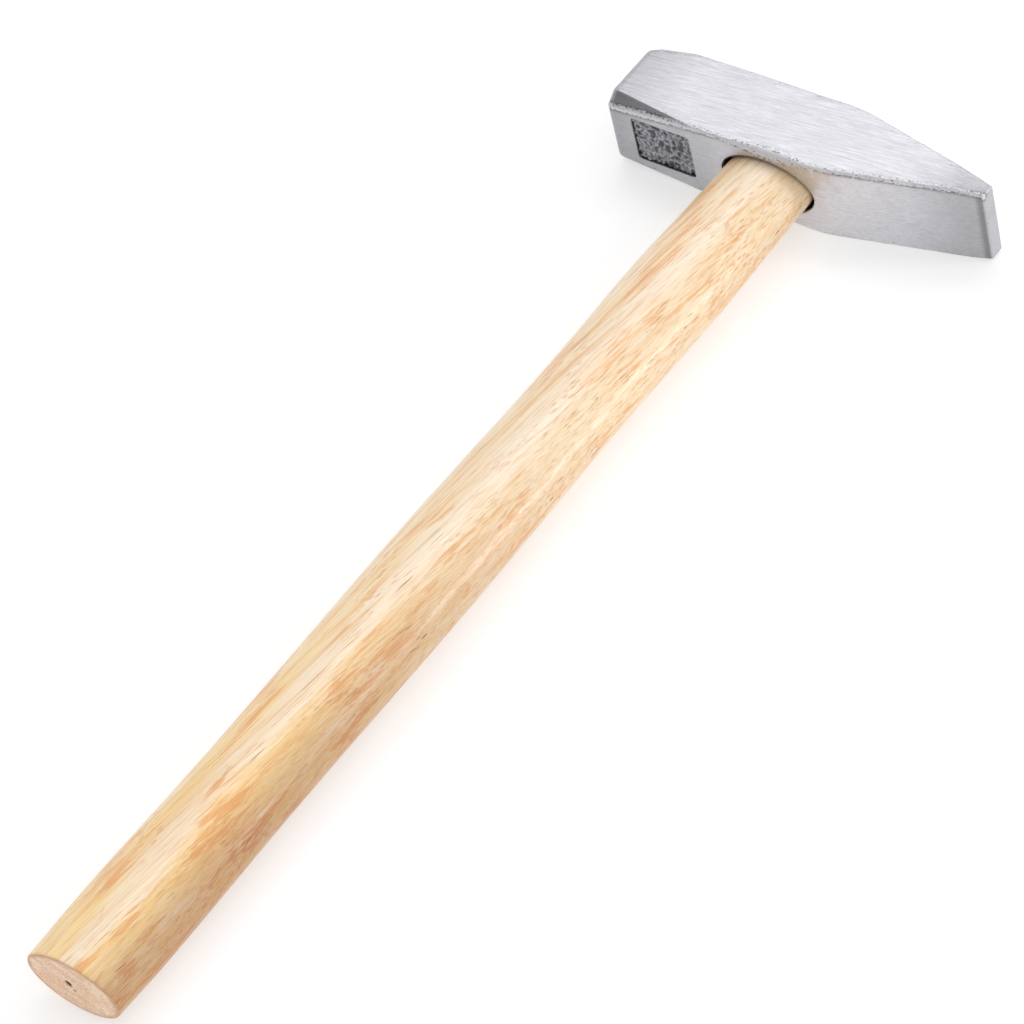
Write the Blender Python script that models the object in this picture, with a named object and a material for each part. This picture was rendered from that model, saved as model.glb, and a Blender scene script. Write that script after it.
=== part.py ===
"""A 300 g cross-peen engineer's hammer, lying on one cheek.

Run with: blender --background --python part.py

Metres. +X runs along the head from the striking face to the peen, +Y along the handle from
the butt to the head, +Z up through the two cheeks. The origin is on the lower cheek, straight
below the middle of the eye.
"""

from math import cos, pi

import bmesh
import bpy
from mathutils import Matrix, Vector

# Head
HEAD_LENGTH = 0.105
FACE_TO_EYE = 0.0476  # striking face to the middle of the eye
HEAD_THICKNESS = 0.0221  # cheek to cheek
BODY_WIDTH = 0.0233  # underside to top side at the eye
FACE_WIDTH = 0.0226  # underside to top side at the striking face
FACE_EDGE = 0.0014  # bevel round the striking face
CORNER_ON_CHEEK = 0.0038  # the ground-off long corners, measured at the striking face
CORNER_ON_SIDE = 0.0028
UNDERSIDE_CORNER_RUN = 0.0300  # they fade out this far from the face
TOP_CORNER_RUN = 0.0140
PEEN_START = 0.0142  # where the two sides turn in, from the eye
PEEN_TURN = 0.0045  # half the length of that turn
TIP_THICKNESS = 0.0040
TIP_EDGE = 0.0004
TIP_CORNER = 0.0011

# Eye: an oval that opens towards both mouths
EYE_MOUTH = (0.0134, 0.0081)  # half length along X, half width along Z
EYE_WAIST = (0.0123, 0.0071)

# Panel sunk in the underside, between the striking face and the handle
PANEL_CENTRE = -0.0312
PANEL_LENGTH = 0.0176
PANEL_WIDTH = 0.0134
PANEL_DEPTH = 0.0010
PANEL_CORNER = 0.0010

# Handle
HANDLE_REACH = 0.2845  # butt to the middle of the eye
TENON_PROUD = 0.0008  # how far its end stands out of the top of the head
BUTT_EDGE = 0.0005
PIT_RADIUS = 0.0008
PIT_OFFSET = -0.0012

# Wedges
KERF_DEPTH = 0.0175
KERF_HALF = (0.0015, 0.0008)  # half thickness at the top and at the bottom of the saw cut
WOOD_WEDGE_HALF_LENGTH = 0.0118
STEEL_WEDGE_OFFSET = 0.0056
STEEL_WEDGE_DEPTH = 0.0110
STEEL_WEDGE_HALF_WIDTH = 0.0045
STEEL_WEDGE_HALF = (0.0010, 0.0003)  # half thickness at its head and at its edge
GAP = 0.0003  # between neighbouring pieces

OVAL_POINTS = 56

HALF_THICKNESS = HEAD_THICKNESS / 2
HALF_WIDTH = BODY_WIDTH / 2
TENON_TOP = HALF_WIDTH + TENON_PROUD
TIP_X = HEAD_LENGTH - FACE_TO_EYE

# The handle's oval at each place where it swells or narrows: (Y, half length on X, half width on Z)
HANDLE_OVALS = [
    (-HANDLE_REACH, 0.01310, 0.0085),
    (-0.2680, 0.01345, 0.0087),
    (-0.2150, 0.01290, 0.0084),
    (-0.1560, 0.01335, 0.0088),
    (-0.0850, 0.01260, 0.0084),
    (-0.0540, 0.01310, 0.0083),
    (-0.0120, 0.01235, 0.0073),
    (-0.0020, 0.01200, 0.0068),
    (TENON_TOP, 0.01310, 0.0078),
]
EYE_OVALS = [
    (-HALF_WIDTH - 0.0010, *EYE_MOUTH),
    (-HALF_WIDTH, *EYE_MOUTH),
    (0.0, *EYE_WAIST),
    (HALF_WIDTH, *EYE_MOUTH),
    (HALF_WIDTH + 0.0010, *EYE_MOUTH),
]


def clear_scene():
    for old in list(bpy.data.objects):
        bpy.data.objects.remove(old, do_unlink=True)


def make_material(name, colour, roughness, metallic):
    material = bpy.data.materials.new(name)
    material.use_nodes = True
    shader = material.node_tree.nodes["Principled BSDF"]
    shader.inputs["Base Color"].default_value = (*colour, 1.0)
    shader.inputs["Roughness"].default_value = roughness
    shader.inputs["Metallic"].default_value = metallic
    return material


def make_object(name, bm, parent, material=None):
    """Turn a bmesh into an object under parent. One with no material is a cutter."""
    bmesh.ops.recalc_face_normals(bm, faces=bm.faces)
    mesh = bpy.data.meshes.new(name)
    bm.to_mesh(mesh)
    bm.free()
    obj = bpy.data.objects.new(name, mesh)
    bpy.context.scene.collection.objects.link(obj)
    obj.parent = parent
    if material is None:
        obj.hide_render = True
        obj.display_type = "WIRE"
    else:
        mesh.materials.append(material)
    return obj


def cut(obj, *cutters):
    for cutter in cutters:
        modifier = obj.modifiers.new("cut " + cutter.name, "BOOLEAN")
        modifier.operation = "DIFFERENCE"
        modifier.solver = "EXACT"
        modifier.object = cutter


def shade_smooth(obj, sharp_angle):
    obj.data.shade_smooth()
    obj.data.set_sharp_from_angle(angle=sharp_angle)


def eased(ovals, rings):
    """Ovals with more rings between them, each pair joined by an S-curve with flat ends."""
    smooth = [ovals[0]]
    for low, high in zip(ovals, ovals[1:]):
        for i in range(1, rings + 1):
            along = i / rings
            ease = (1 - cos(pi * along)) / 2
            y = low[0] + (high[0] - low[0]) * along
            smooth.append((y, *(a + (b - a) * ease for a, b in zip(low[1:], high[1:]))))
    return smooth


def loft_ovals(ovals):
    """A closed bmesh through ovals (Y, half length on X, half width on Z) along the handle's axis."""
    bm = bmesh.new()
    y, half_x, half_z = ovals[0]
    lying = Matrix.Translation((0, y, 0)) @ Matrix.Rotation(pi / 2, 4, "X")
    bmesh.ops.create_circle(bm, cap_ends=True, segments=OVAL_POINTS, radius=1, matrix=lying)
    bmesh.ops.scale(bm, vec=(half_x, 1, half_z), verts=bm.verts)
    cap = bm.faces[:]
    for (old_y, old_x, old_z), (y, half_x, half_z) in zip(ovals, ovals[1:]):
        grown = bmesh.ops.extrude_face_region(bm, geom=cap)["geom"]
        if old_y > ovals[0][0]:
            bmesh.ops.delete(bm, geom=cap, context="FACES_ONLY")
        cap = [item for item in grown if isinstance(item, bmesh.types.BMFace)]
        ring = [item for item in grown if isinstance(item, bmesh.types.BMVert)]
        bmesh.ops.translate(bm, vec=(0, y - old_y, 0), verts=ring)
        bmesh.ops.scale(bm, vec=(half_x / old_x, 1, half_z / old_z), verts=ring)
    return bm


def tapered_slab(half_x, half_z, top, depth):
    """A slab from top down by depth along -Y. half_x and half_z are each (at the top, at the bottom)."""
    bm = bmesh.new()
    bmesh.ops.create_cube(bm, size=2)
    for vert in bm.verts:
        end = 0 if vert.co.y > 0 else 1
        vert.co.x *= half_x[end]
        vert.co.z *= half_z[end]
        vert.co.y = top - depth * end
    return bm


def edges_at(bm, test):
    return [edge for edge in bm.edges if all(test(vert.co) for vert in edge.verts)]


def bevel(bm, edges, offset, segments):
    bmesh.ops.bevel(
        bm, geom=edges, offset=offset, segments=segments, profile=0.5, affect="EDGES", material=-1
    )


def half_width_at(x):
    """Half the body's width between the striking face and the eye, where its sides taper a little."""
    along = min((x + FACE_TO_EYE) / UNDERSIDE_CORNER_RUN, 1)
    return (FACE_WIDTH + (BODY_WIDTH - FACE_WIDTH) * along) / 2


def grind_corner(bm, side, cheek, run):
    """Plane off one long corner, from its full width at the striking face to nothing at the end of run."""
    on_cheek = Vector((-FACE_TO_EYE, side * (FACE_WIDTH / 2 - CORNER_ON_CHEEK), cheek * HALF_THICKNESS))
    on_side = Vector((-FACE_TO_EYE, side * FACE_WIDTH / 2, cheek * (HALF_THICKNESS - CORNER_ON_SIDE)))
    fade_x = run - FACE_TO_EYE
    fade_out = Vector((fade_x, side * half_width_at(fade_x), cheek * HALF_THICKNESS))
    normal = (on_side - on_cheek).cross(fade_out - on_cheek)
    if normal.y * side < 0:
        normal.negate()
    cut_open = bmesh.ops.bisect_plane(
        bm,
        geom=bm.verts[:] + bm.edges[:] + bm.faces[:],
        plane_co=on_cheek,
        plane_no=normal,
        clear_outer=True,
    )["geom_cut"]
    rim = [item for item in cut_open if isinstance(item, bmesh.types.BMEdge)]
    bmesh.ops.holes_fill(bm, edges=rim)


def make_head(root):
    parallel_part = [(UNDERSIDE_CORNER_RUN - FACE_TO_EYE, HALF_WIDTH), (PEEN_START, HALF_WIDTH)]
    half_outline = [(-FACE_TO_EYE, FACE_WIDTH / 2), *parallel_part, (TIP_X, TIP_THICKNESS / 2)]
    outline = half_outline + [(x, -y) for x, y in reversed(half_outline)]
    bm = bmesh.new()
    cheek = bm.faces.new([bm.verts.new((x, y, -HALF_THICKNESS)) for x, y in outline])
    grown = bmesh.ops.extrude_face_region(bm, geom=[cheek])["geom"]
    upper = [item for item in grown if isinstance(item, bmesh.types.BMVert)]
    bmesh.ops.translate(bm, vec=(0, 0, HEAD_THICKNESS), verts=upper)

    def upright(edge, x):
        return abs(edge.verts[0].co.z - edge.verts[1].co.z) > HALF_THICKNESS and all(
            abs(vert.co.x - x) < 1e-5 for vert in edge.verts
        )

    bevel(bm, [edge for edge in bm.edges if upright(edge, PEEN_START)], PEEN_TURN, 6)
    bevel(bm, [edge for edge in bm.edges if upright(edge, TIP_X)], TIP_EDGE, 2)
    tip_corners = edges_at(bm, lambda co: co.x > TIP_X - 1e-5 and abs(co.z) > HALF_THICKNESS - 1e-5)
    bevel(bm, tip_corners, TIP_CORNER, 2)
    for side, run in ((-1, UNDERSIDE_CORNER_RUN), (1, TOP_CORNER_RUN)):
        for cheek_side in (-1, 1):
            grind_corner(bm, side, cheek_side, run)
    bevel(bm, edges_at(bm, lambda co: co.x < -FACE_TO_EYE + 1e-5), FACE_EDGE, 2)

    head = make_object("head", bm, root, make_material("forged_steel", (0.62, 0.62, 0.65), 0.36, 1.0))
    eye = make_object("eye_cutter", loft_ovals(eased(EYE_OVALS, 5)), root)
    cut(head, eye, make_panel_cutter(root))
    shade_smooth(head, 0.3)
    return head


def make_panel_cutter(root):
    bm = bmesh.new()
    bmesh.ops.create_cube(bm, size=1)
    bmesh.ops.scale(bm, vec=(PANEL_LENGTH, 2 * PANEL_DEPTH, PANEL_WIDTH), verts=bm.verts)
    corners = [edge for edge in bm.edges if abs(edge.verts[0].co.y - edge.verts[1].co.y) > PANEL_DEPTH]
    bevel(bm, corners, PANEL_CORNER, 3)
    # The side tapers towards the face, so the panel's floor is turned with it.
    slope = (BODY_WIDTH - FACE_WIDTH) / 2 / UNDERSIDE_CORNER_RUN
    bmesh.ops.rotate(bm, matrix=Matrix.Rotation(-slope, 3, "Z"), verts=bm.verts)
    bmesh.ops.translate(bm, vec=(PANEL_CENTRE, -half_width_at(PANEL_CENTRE), 0), verts=bm.verts)
    return make_object("panel_cutter", bm, root)


def make_handle(root):
    bm = loft_ovals(eased(HANDLE_OVALS, 6))
    bevel(bm, edges_at(bm, lambda co: co.y < -HANDLE_REACH + 1e-5), BUTT_EDGE, 2)
    handle = make_object("handle", bm, root, make_material("ash_wood", (0.86, 0.66, 0.42), 0.45, 0.0))
    kerf = tapered_slab((0.02, 0.02), KERF_HALF, TENON_TOP + GAP, KERF_DEPTH + GAP)
    pit = bmesh.new()
    bmesh.ops.create_cone(
        pit,
        cap_ends=True,
        segments=16,
        radius1=2 * PIT_RADIUS,
        radius2=0.0002,
        depth=3 * PIT_RADIUS,
        matrix=Matrix.Translation((PIT_OFFSET, -HANDLE_REACH, 0)) @ Matrix.Rotation(-pi / 2, 4, "X"),
    )
    cut(handle, make_object("kerf_cutter", kerf, root), make_object("pit_cutter", pit, root))
    cut(handle, *(steel_slot_cutter(root, "handle", side) for side in (-1, 1)))
    shade_smooth(handle, 0.6)
    return handle


def steel_wedge_shape(side, gap):
    bm = tapered_slab(
        [half + gap for half in STEEL_WEDGE_HALF],
        [STEEL_WEDGE_HALF_WIDTH + gap] * 2,
        TENON_TOP + 2 * gap,
        STEEL_WEDGE_DEPTH + 3 * gap,
    )
    bmesh.ops.translate(bm, vec=(side * STEEL_WEDGE_OFFSET, 0, 0), verts=bm.verts)
    return bm


def steel_slot_cutter(root, piece, side):
    name = f"{piece}_slot_cutter_{'face' if side < 0 else 'peen'}"
    return make_object(name, steel_wedge_shape(side, GAP), root)


def make_wood_wedge(root):
    half_z = [half - GAP for half in KERF_HALF]
    bm = tapered_slab([WOOD_WEDGE_HALF_LENGTH] * 2, half_z, TENON_TOP, KERF_DEPTH - GAP)
    wedge = make_object("wood_wedge", bm, root, make_material("wedge_wood", (0.70, 0.48, 0.28), 0.6, 0.0))
    cut(wedge, *(steel_slot_cutter(root, "wedge", side) for side in (-1, 1)))


def make_steel_wedges(root):
    steel = make_material("wedge_steel", (0.35, 0.35, 0.37), 0.5, 1.0)
    for side, place in ((-1, "face"), (1, "peen")):
        make_object(f"steel_wedge_{place}_end", steel_wedge_shape(side, 0), root, steel.copy())
    bpy.data.materials.remove(steel)


def main():
    clear_scene()
    root = bpy.data.objects.new("hammer", None)
    bpy.context.scene.collection.objects.link(root)
    root.location = (0, 0, HALF_THICKNESS)
    make_head(root)
    make_handle(root)
    make_wood_wedge(root)
    make_steel_wedges(root)


main()
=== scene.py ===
from math import cos, pi, radians, sin

import bmesh
import bpy
import numpy as np
from mathutils import Matrix, Vector, kdtree, noise


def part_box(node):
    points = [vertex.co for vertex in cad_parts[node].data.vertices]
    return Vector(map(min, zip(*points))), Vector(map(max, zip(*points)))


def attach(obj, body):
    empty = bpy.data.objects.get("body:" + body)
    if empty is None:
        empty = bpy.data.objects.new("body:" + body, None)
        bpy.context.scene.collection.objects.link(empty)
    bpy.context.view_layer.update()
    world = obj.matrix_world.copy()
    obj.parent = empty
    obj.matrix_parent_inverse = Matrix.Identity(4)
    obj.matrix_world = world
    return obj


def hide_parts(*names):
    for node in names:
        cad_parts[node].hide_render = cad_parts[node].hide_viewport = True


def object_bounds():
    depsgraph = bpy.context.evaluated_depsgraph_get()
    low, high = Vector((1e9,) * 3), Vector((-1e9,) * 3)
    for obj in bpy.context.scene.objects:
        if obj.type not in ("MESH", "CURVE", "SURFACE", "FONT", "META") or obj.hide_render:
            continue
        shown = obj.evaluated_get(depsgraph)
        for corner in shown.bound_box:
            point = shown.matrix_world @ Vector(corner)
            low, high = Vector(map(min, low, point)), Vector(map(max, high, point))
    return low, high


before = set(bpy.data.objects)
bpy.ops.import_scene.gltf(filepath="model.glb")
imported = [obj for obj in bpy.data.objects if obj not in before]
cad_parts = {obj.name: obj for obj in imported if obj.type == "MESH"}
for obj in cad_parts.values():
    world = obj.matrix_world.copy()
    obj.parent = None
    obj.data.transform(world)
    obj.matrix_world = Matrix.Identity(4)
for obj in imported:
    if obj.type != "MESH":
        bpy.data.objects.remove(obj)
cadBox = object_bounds()
print("frame:", ", ".join(sorted(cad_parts)))

# The hammer lies on one cheek: +X is the peen, +Y the head, +Z the upper cheek.
headLow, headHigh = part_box("head")
handleLow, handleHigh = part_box("handle")
halfWidth = (headHigh.y - headLow.y) / 2
halfThick = (headHigh.z - headLow.z) / 2
midPlane = Vector((0, 0, headLow.z + halfThick))  # pieces are shaped round it, then lifted by it
mm = 0.001


def vertsOf(geometry):
    return [item for item in geometry if isinstance(item, bmesh.types.BMVert)]


def facesOf(geometry):
    return [item for item in geometry if isinstance(item, bmesh.types.BMFace)]


def edgesOf(geometry):
    return [item for item in geometry if isinstance(item, bmesh.types.BMEdge)]


def roundOff(bm, edges, width, segments):
    bmesh.ops.bevel(
        bm, geom=edges, offset=width, segments=segments, profile=0.5, affect="EDGES", material=-1
    )


def bareObject(name, bm):
    mesh = bpy.data.meshes.new(name)
    bm.to_mesh(mesh)
    bm.free()
    made = bpy.data.objects.new(name, mesh)
    bpy.context.scene.collection.objects.link(made)
    return made


def carve(bm, *cutters):  # cut the cutters' shapes out of bm and give back the result
    blank = bareObject("blank", bm)
    tools = [bareObject("tool", cutter) for cutter in cutters]
    for tool in tools:
        cut = blank.modifiers.new("cut", "BOOLEAN")
        cut.operation = "DIFFERENCE"
        cut.solver = "EXACT"
        cut.object = tool
    graph = bpy.context.evaluated_depsgraph_get()
    mesh = bpy.data.meshes.new_from_object(blank.evaluated_get(graph), depsgraph=graph)
    carved = bmesh.new()
    carved.from_mesh(mesh)
    for used in [blank, *tools]:
        bpy.data.objects.remove(used, do_unlink=True)
    bpy.data.meshes.remove(mesh)
    return carved


def slices(bm, axis, places, faces=None):  # add an edge loop across bm at each place along axis
    normal = Vector(axis)
    patch = list(faces) if faces else None
    for place in places:
        if patch is None:
            geometry = bm.verts[:] + bm.edges[:] + bm.faces[:]
        else:
            edges = {edge for face in patch for edge in face.edges}
            verts = {vert for face in patch for vert in face.verts}
            geometry = [*verts, *edges, *patch]
        made = bmesh.ops.bisect_plane(
            bm, geom=geometry, dist=0.02 * mm, plane_co=normal * place, plane_no=normal
        )
        if patch is not None:
            patch = [face for face in facesOf(made["geom"]) if face.is_valid]


def drawOvals(ovals, points):  # a closed bar through ovals (y, half length on x, half width on z)
    bm = bmesh.new()
    y, halfX, halfZ = ovals[0]
    lying = Matrix.Translation((0, y, 0)) @ Matrix.Rotation(pi / 2, 4, "X")
    bmesh.ops.create_circle(bm, cap_ends=True, segments=points, radius=1, matrix=lying)
    bmesh.ops.scale(bm, vec=(halfX, 1, halfZ), verts=bm.verts)
    cap = bm.faces[:]
    for (oldY, oldX, oldZ), (y, halfX, halfZ) in zip(ovals, ovals[1:]):
        grown = bmesh.ops.extrude_face_region(bm, geom=cap)["geom"]
        if oldY > ovals[0][0]:
            bmesh.ops.delete(bm, geom=cap, context="FACES_ONLY")
        cap = facesOf(grown)
        bmesh.ops.translate(bm, vec=(0, y - oldY, 0), verts=vertsOf(grown))
        bmesh.ops.scale(bm, vec=(halfX / oldX, 1, halfZ / oldZ), verts=vertsOf(grown))
    return bm


def easeOvals(ovals, pitch):  # more ovals between these, swelling and narrowing without corners
    smooth = [ovals[0]]
    for low, high in zip(ovals, ovals[1:]):
        steps = max(1, round((high[0] - low[0]) / pitch))
        for step in range(1, steps + 1):
            along = step / steps
            ease = (1 - cos(pi * along)) / 2
            y = low[0] + (high[0] - low[0]) * along
            smooth.append((y, *(a + (b - a) * ease for a, b in zip(low[1:], high[1:]))))
    return smooth


def taperedSlab(halfX, halfZ, top, depth):  # from top down along the handle; each half is (top, bottom)
    bm = bmesh.new()
    bmesh.ops.create_cube(bm, size=2)
    for vert in bm.verts:
        end = 0 if vert.co.y > 0 else 1
        vert.co = (vert.co.x * halfX[end], top - depth * end, vert.co.z * halfZ[end])
    return bm


def rough(place, perMetre, seed):  # soft noise from -1 to 1, perMetre gives its grain along x, y and z
    grain = Vector([along * fine for along, fine in zip(place, perMetre)])
    return noise.noise(grain + Vector((seed, 7 * seed, 3 * seed)))


def newAttributes(bm, names):  # a number on each point for each name, which the material reads
    for name in names:
        bm.verts.layers.float.new(name)
    return [bm.verts.layers.float[name] for name in names]


def finishPiece(name, bm, material, node, sharp):
    bmesh.ops.translate(bm, vec=midPlane, verts=bm.verts)
    bmesh.ops.recalc_face_normals(bm, faces=bm.faces)
    piece = bareObject(name, bm)
    piece.data.materials.append(material)
    piece.data.shade_smooth()
    piece.data.set_sharp_from_angle(angle=sharp)
    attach(piece, "root")
    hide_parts(node)
    print(name, "has", len(piece.data.polygons), "faces")
    return piece


class NodeBench:  # short ways to add nodes to a tree
    def __init__(self, tree):
        self.tree = tree

    def add(self, kind, inputs=(), **settings):
        node = self.tree.nodes.new(kind)
        for name, value in settings.items():
            setattr(node, name, value)
        for name, value in dict(inputs).items():
            self.plug(node.inputs[name], value)
        return node

    def plug(self, socket, value):
        if isinstance(value, bpy.types.NodeSocket):
            self.tree.links.new(value, socket)
        else:
            socket.default_value = value

    def math(self, operation, first, second=0.0):
        return self.add("ShaderNodeMath", {0: first, 1: second}, operation=operation).outputs[0]

    def fade(self, value, low, high, start=0.0, end=1.0):  # start at low, end at high, smooth between
        inputs = {"Value": value, "From Min": low, "From Max": high, "To Min": start, "To Max": end}
        return self.add("ShaderNodeMapRange", inputs, interpolation_type="SMOOTHSTEP").outputs["Result"]


class Finish(NodeBench):  # a material, with its patterns and colours
    def __init__(self, name):
        self.material = bpy.data.materials.new(name)
        self.material.use_nodes = True
        super().__init__(self.material.node_tree)
        self.shader = self.tree.nodes["Principled BSDF"]
        self.place = self.add("ShaderNodeTexCoord").outputs["Object"]
        self.x, self.y, self.z = self.add("ShaderNodeSeparateXYZ", {"Vector": self.place}).outputs

    def attribute(self, name):
        return self.add("ShaderNodeAttribute", attribute_name=name).outputs["Fac"]

    def turned(self, size, degrees=(0, 0, 0), shift=(0, 0, 0)):  # size is a pattern's grain in mm
        inputs = {
            "Vector": self.place,
            "Scale": [side * mm for side in size],
            "Rotation": [radians(angle) for angle in degrees],
            "Location": shift,
        }
        return self.add("ShaderNodeMapping", inputs, vector_type="TEXTURE").outputs["Vector"]

    def noise(self, size, degrees=(0, 0, 0), shift=(0, 0, 0), detail=2.0, roughness=0.5, warp=0.0):
        inputs = {
            "Vector": self.turned(size, degrees, shift),
            "Scale": 1.0,
            "Detail": detail,
            "Roughness": roughness,
            "Distortion": warp,
        }
        return self.add("ShaderNodeTexNoise", inputs).outputs["Fac"]

    def cells(self, size, degrees=(0, 0, 0)):
        inputs = {"Vector": self.turned(size, degrees), "Scale": 1.0}
        return self.add("ShaderNodeTexVoronoi", inputs).outputs["Distance"]

    def blend(self, factor, first, second, mode="MIX"):
        colours = [(*colour, 1.0) if isinstance(colour, tuple) else colour for colour in (first, second)]
        inputs = {0: factor, 6: colours[0], 7: colours[1]}
        kind = {"data_type": "RGBA", "blend_type": mode, "clamp_result": True}
        return self.add("ShaderNodeMix", inputs, **kind).outputs[2]

    def grey(self, value):
        inputs = {"Red": value, "Green": value, "Blue": value}
        return self.add("ShaderNodeCombineColor", inputs).outputs[0]

    def bump(self, height, depth):
        inputs = {"Height": height, "Distance": depth, "Strength": 1.0}
        return self.add("ShaderNodeBump", inputs).outputs["Normal"]

    def finish(self, **sockets):
        for name, value in sockets.items():
            self.plug(self.shader.inputs[name.replace("_", " ")], value)
        return self.material


headShape = {
    "faceWidth": 22.6 * mm,  # underside to top side at the striking face
    "cornerOnCheek": 3.8 * mm,  # the ground-off long corners, measured at the striking face
    "cornerOnSide": 2.8 * mm,
    "undersideCornerRun": 30.0 * mm,  # how far from the face they fade out
    "topCornerRun": 14.0 * mm,
    "peenStart": 14.2 * mm,  # where the sides turn in, from the eye
    "peenTurn": 4.5 * mm,
    "tipThickness": 4.0 * mm,
    "faceEdge": 2.3 * mm,  # the rounding round the striking face
    "tipCorner": 1.1 * mm,
    "tipGrind": 0.7 * mm,  # a shallow facet ground on the upper cheek beside the tip
    "tipGrindStart": (44.5 * mm, 51.5 * mm),  # its start at the top side and at the underside
    "tipRise": 0.5 * mm,  # the lower cheek rises this much at the tip
    "tipRiseStart": 52.0 * mm,
    "eyeMouth": (13.4 * mm, 8.1 * mm),  # half length and half width of the oval eye
    "eyeWaist": (12.3 * mm, 7.1 * mm),
    "eyePitch": 1.6 * mm,
    "eyePoints": 112,
    "eyeRim": 0.35 * mm,
    "panelCentre": -31.2 * mm,  # the sunk panel on the underside
    "panelSize": (17.6 * mm, 13.4 * mm),
    "panelDepth": 1.0 * mm,
    "panelCorner": 0.9 * mm,
    "panelRim": 0.12 * mm,
    "panelRelief": 0.62 * mm,  # the panel's cast floor is lumpy
    "sliceX": 0.6 * mm,  # how finely the flats are cut up
    "sliceAcross": 1.1 * mm,
    "sliceFromEdge": [0.12 * mm, 0.3 * mm, 0.55 * mm, 0.9 * mm, 1.5 * mm],
    "slicePanel": 0.22 * mm,
    "wornBand": 3.0,  # how far from an edge wear reaches, in mm
    "edgeRadius": 0.30 * mm,  # how round the edges are worn
    "edgeWander": 0.16 * mm,
    "nick": 0.9 * mm,
    "rubbedRadius": 0.35 * mm,  # more on the underside's upper edge
    "rubbedBand": 2.5,
    "eyeFillet": 1.1 * mm,  # the underside's edges are rubbed rounder beside the eye
    "filletOnTop": 0.35,  # less of it on the top side
    "filletMiddle": 2 * mm,
    "filletReach": 15 * mm,
    "dotPitch": 0.3 * mm,  # how finely distances to an edge are measured
    "wearPasses": 14,
    "wave": 0.035 * mm,  # the flats are ground by hand and not quite true
}


def groundCorner(bm, side, cheek, run):  # plane off a long corner, fading out at the end of run
    s = headShape
    faceX = headLow.x
    onCheek = Vector((faceX, side * (s["faceWidth"] / 2 - s["cornerOnCheek"]), cheek * halfThick))
    onSide = Vector((faceX, side * s["faceWidth"] / 2, cheek * (halfThick - s["cornerOnSide"])))
    along = min(run / s["undersideCornerRun"], 1)
    widthThere = s["faceWidth"] / 2 + (halfWidth - s["faceWidth"] / 2) * along
    fadeOut = Vector((faceX + run, side * widthThere, cheek * halfThick))
    cutAway(bm, onCheek, onSide, fadeOut)


def cutAway(bm, *corners):  # saw bm along the plane through three points and keep the side of its middle
    normal = (corners[1] - corners[0]).cross(corners[2] - corners[0]).normalized()
    if normal.dot(corners[0]) < 0:
        normal.negate()
    sawn = bmesh.ops.bisect_plane(
        bm,
        geom=bm.verts[:] + bm.edges[:] + bm.faces[:],
        plane_co=corners[0],
        plane_no=normal,
        clear_outer=True,
    )
    bmesh.ops.holes_fill(bm, edges=edgesOf(sawn["geom_cut"]))


def forgedBlock():  # the head's outside, all flats, before the eye and the panel
    s = headShape
    faceX, tipX = headLow.x, headHigh.x
    halfOutline = [
        (faceX, s["faceWidth"] / 2),
        (faceX + s["undersideCornerRun"], halfWidth),
        (s["peenStart"], halfWidth),
        (tipX, s["tipThickness"] / 2),
    ]
    outline = halfOutline + [(x, -y) for x, y in reversed(halfOutline)]
    bm = bmesh.new()
    cheek = bm.faces.new([bm.verts.new((x, y, -halfThick)) for x, y in outline])
    grown = bmesh.ops.extrude_face_region(bm, geom=[cheek])["geom"]
    bmesh.ops.translate(bm, vec=(0, 0, 2 * halfThick), verts=vertsOf(grown))

    def standsAt(edge, x):
        ends = [vert.co for vert in edge.verts]
        return abs(ends[0].z - ends[1].z) > halfThick and all(abs(end.x - x) < 0.01 * mm for end in ends)

    def liesAcross(edge, x):
        return all(abs(vert.co.x - x) < 0.01 * mm for vert in edge.verts)

    roundOff(bm, [edge for edge in bm.edges if standsAt(edge, s["peenStart"])], s["peenTurn"], 8)
    tipEdges = [edge for edge in bm.edges if liesAcross(edge, tipX) and not standsAt(edge, tipX)]
    roundOff(bm, tipEdges, s["tipCorner"], 2)
    for side, run in ((-1, s["undersideCornerRun"]), (1, s["topCornerRun"])):
        for cheekSide in (-1, 1):
            groundCorner(bm, side, cheekSide, run)
    topStart, lowStart = s["tipGrindStart"]
    cutAway(
        bm,
        Vector((topStart, halfWidth / 2, halfThick)),
        Vector((lowStart, -halfWidth / 2, halfThick)),
        Vector((tipX, 0, halfThick - s["tipGrind"])),
    )
    cutAway(
        bm,
        Vector((s["tipRiseStart"], halfWidth, -halfThick)),
        Vector((s["tipRiseStart"], -halfWidth, -halfThick)),
        Vector((tipX, 0, s["tipRise"] - halfThick)),
    )
    bmesh.ops.remove_doubles(bm, verts=bm.verts, dist=0.005 * mm)
    roundOff(bm, [edge for edge in bm.edges if liesAcross(edge, faceX)], s["faceEdge"], 4)
    bmesh.ops.recalc_face_normals(bm, faces=bm.faces)
    return bm


def eyeTool():
    s = headShape
    over = halfWidth + 1 * mm
    ovals = [(-over, *s["eyeMouth"]), (-halfWidth, *s["eyeMouth"]), (0, *s["eyeWaist"])]
    ovals += [(-y, halfX, halfZ) for y, halfX, halfZ in reversed(ovals[:2])]
    bm = drawOvals(easeOvals(ovals, s["eyePitch"]), s["eyePoints"])
    bmesh.ops.recalc_face_normals(bm, faces=bm.faces)
    return bm


def undersideAt(x):  # how far the underside stands from the middle of the head, near the face
    s = headShape
    slope = (halfWidth - s["faceWidth"] / 2) / s["undersideCornerRun"]
    return s["faceWidth"] / 2 + slope * (x - headLow.x), slope


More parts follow.
